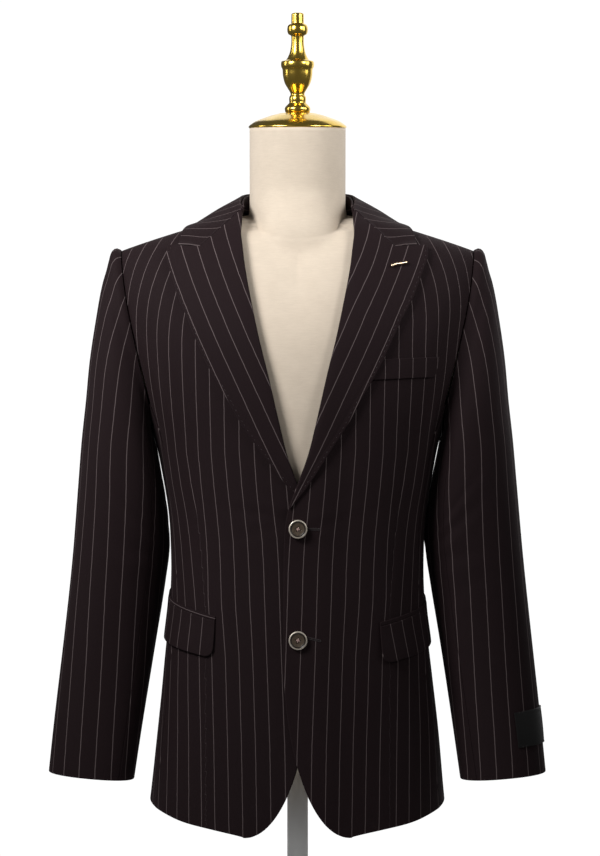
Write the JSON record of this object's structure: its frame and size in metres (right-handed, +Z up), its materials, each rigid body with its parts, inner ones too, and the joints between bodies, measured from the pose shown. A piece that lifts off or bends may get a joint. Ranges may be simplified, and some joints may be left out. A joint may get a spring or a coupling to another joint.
{
  "type": "suit jacket on a dress form",
  "caption": "Buttoned peak-lapel suit jacket with flap pockets, filled out on a limbless linen dress form with a gilt cap and finial, standing on a post and a round base.",
  "frame": {"origin": "centre of the underside of the round base", "axes": "+Z up, -Y to the front of the jacket, +X to the wearer's left"},
  "size_m": [0.5964, 0.3, 1.0987],
  "materials": {
    "wool": "matte pinstriped worsted",
    "satin": "satin woven label",
    "button": "dark horn look with a bronze rim",
    "linen": "plain woven linen",
    "gilt": "polished",
    "white_paint": "satin"
  },
  "bodies": {
    "root": {"front_left": "wool", "front_right": "wool", "side_left": "wool", "side_right": "wool", "back_left": "wool", "back_right": "wool", "top_sleeve_left": "wool", "top_sleeve_right": "wool", "under_sleeve_left": "wool", "under_sleeve_right": "wool", "lapel_left": "wool", "lapel_right": "wool", "collar": "wool", "collar_stand": "wool", "flap_left": "wool", "flap_right": "wool", "jetting_left": "wool", "jetting_right": "wool", "breast_welt": "wool", "button_upper": "button", "button_lower": "button", "lapel_bar": "gilt", "sleeve_label": "satin", "form": "linen", "neck_cap": "gilt", "finial": "gilt", "post": "white_paint", "base": "white_paint"}
  },
  "joints": []
}
